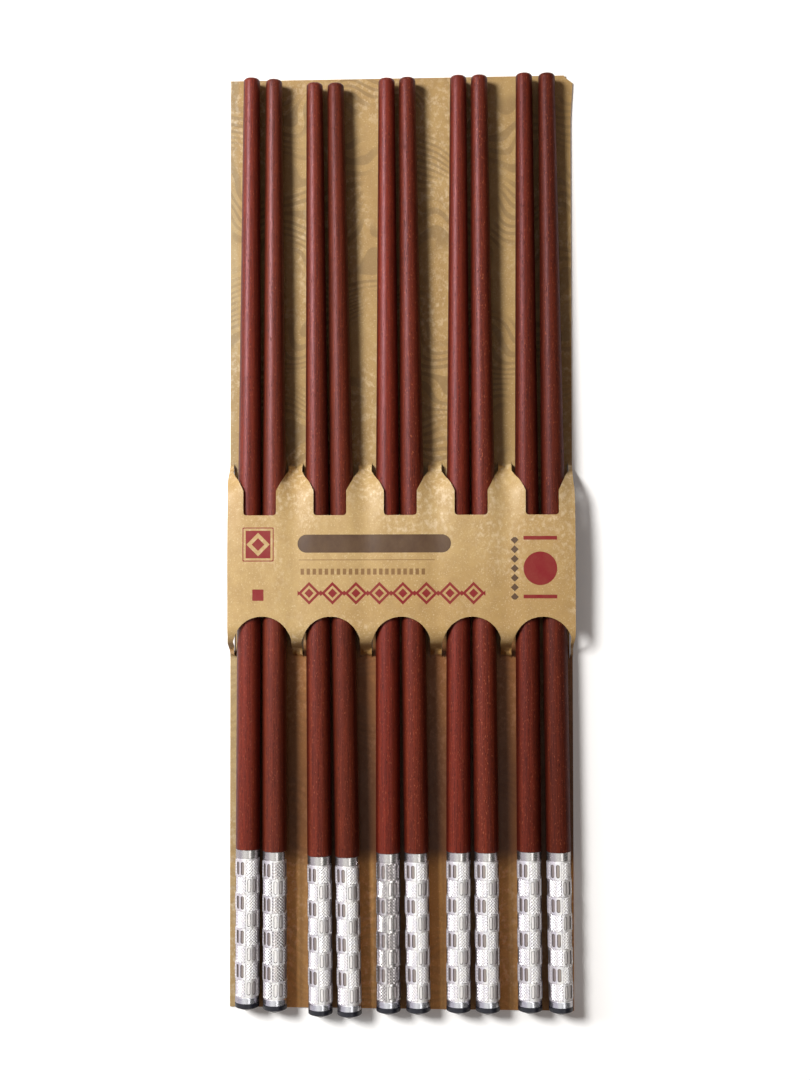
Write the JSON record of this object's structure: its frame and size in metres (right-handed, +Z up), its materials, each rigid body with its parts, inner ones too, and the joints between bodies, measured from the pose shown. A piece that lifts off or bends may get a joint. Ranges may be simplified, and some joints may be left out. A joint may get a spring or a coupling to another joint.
{
  "type": "wooden chopsticks",
  "caption": "Set of round tapered wooden chopsticks with embossed metal head sleeves, held in pairs on a die-cut kraft card by a band across the front.",
  "frame": {"origin": "bottom centre of the whole set, on the back face of the card", "axes": "+Z up out of the card's front, +Y towards the eating tips, +X to the right; the set lies on the back of its card"},
  "size_m": [0.092, 0.2518, 0.0079],
  "materials": {
    "wood": "reddish brown hardwood, fine straight grain, thin satin varnish",
    "sleeve_metal": "bright stamped and knurled",
    "plug_plastic": "moulded black, glossy",
    "card": "kraft board, fine fibres, light satin coat"
  },
  "bodies": {
    "root": {"card": "card", "pair_1_left_end_plug": "plug_plastic", "pair_1_left_shaft": "wood", "pair_1_left_sleeve": "sleeve_metal", "pair_1_right_end_plug": "plug_plastic", "pair_1_right_shaft": "wood", "pair_1_right_sleeve": "sleeve_metal", "pair_2_left_end_plug": "plug_plastic", "pair_2_left_shaft": "wood", "pair_2_left_sleeve": "sleeve_metal", "pair_2_right_end_plug": "plug_plastic", "pair_2_right_shaft": "wood", "pair_2_right_sleeve": "sleeve_metal", "pair_3_left_end_plug": "plug_plastic", "pair_3_left_shaft": "wood", "pair_3_left_sleeve": "sleeve_metal", "pair_3_right_end_plug": "plug_plastic", "pair_3_right_shaft": "wood", "pair_3_right_sleeve": "sleeve_metal", "pair_4_left_end_plug": "plug_plastic", "pair_4_left_shaft": "wood", "pair_4_left_sleeve": "sleeve_metal", "pair_4_right_end_plug": "plug_plastic", "pair_4_right_shaft": "wood", "pair_4_right_sleeve": "sleeve_metal", "pair_5_left_end_plug": "plug_plastic", "pair_5_left_shaft": "wood", "pair_5_left_sleeve": "sleeve_metal", "pair_5_right_end_plug": "plug_plastic", "pair_5_right_shaft": "wood", "pair_5_right_sleeve": "sleeve_metal"}
  },
  "joints": []
}
